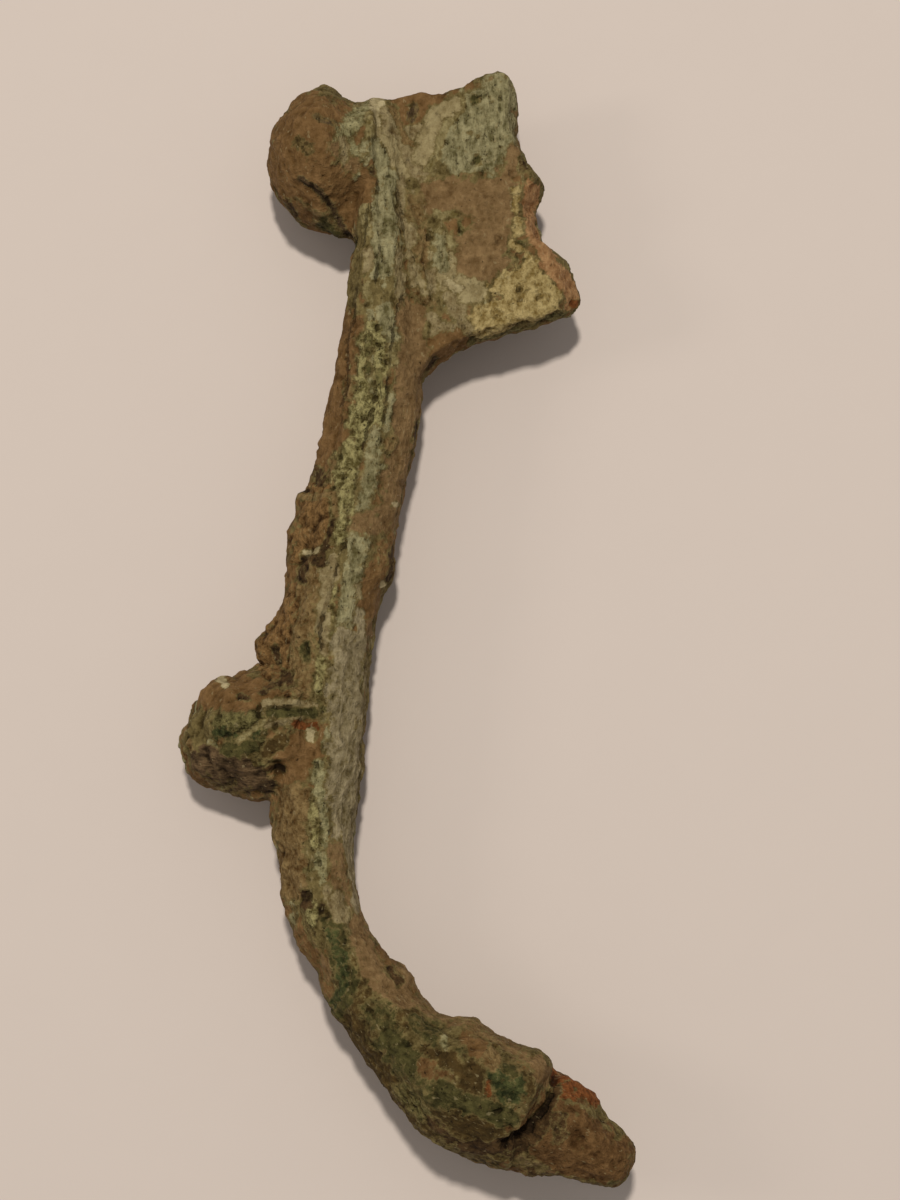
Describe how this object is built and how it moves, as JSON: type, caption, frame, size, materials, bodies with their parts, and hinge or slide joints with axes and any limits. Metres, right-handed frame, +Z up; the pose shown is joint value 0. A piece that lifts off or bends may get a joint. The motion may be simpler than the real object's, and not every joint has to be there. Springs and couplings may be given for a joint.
{
  "type": "roman fibula brooch",
  "caption": "Cast bronze bow brooch lying on its side: domed foot knob, broken catchplate, knobbed bow and trumpet head; it once pinned a cloak.",
  "frame": {"origin": "middle of the underside of the bounding box, on the surface the brooch lies on", "axes": "+Y from the head to the foot, +X from the back of the bow to the pin side, +Z up out of the side that shows"},
  "size_m": [0.0234, 0.0622, 0.0092],
  "materials": {
    "patinated_bronze": "corroded: green patina under brown soil crust, copper red on the fresh breaks"
  },
  "bodies": {
    "root": {"brooch_body": "patinated_bronze"}
  },
  "joints": []
}
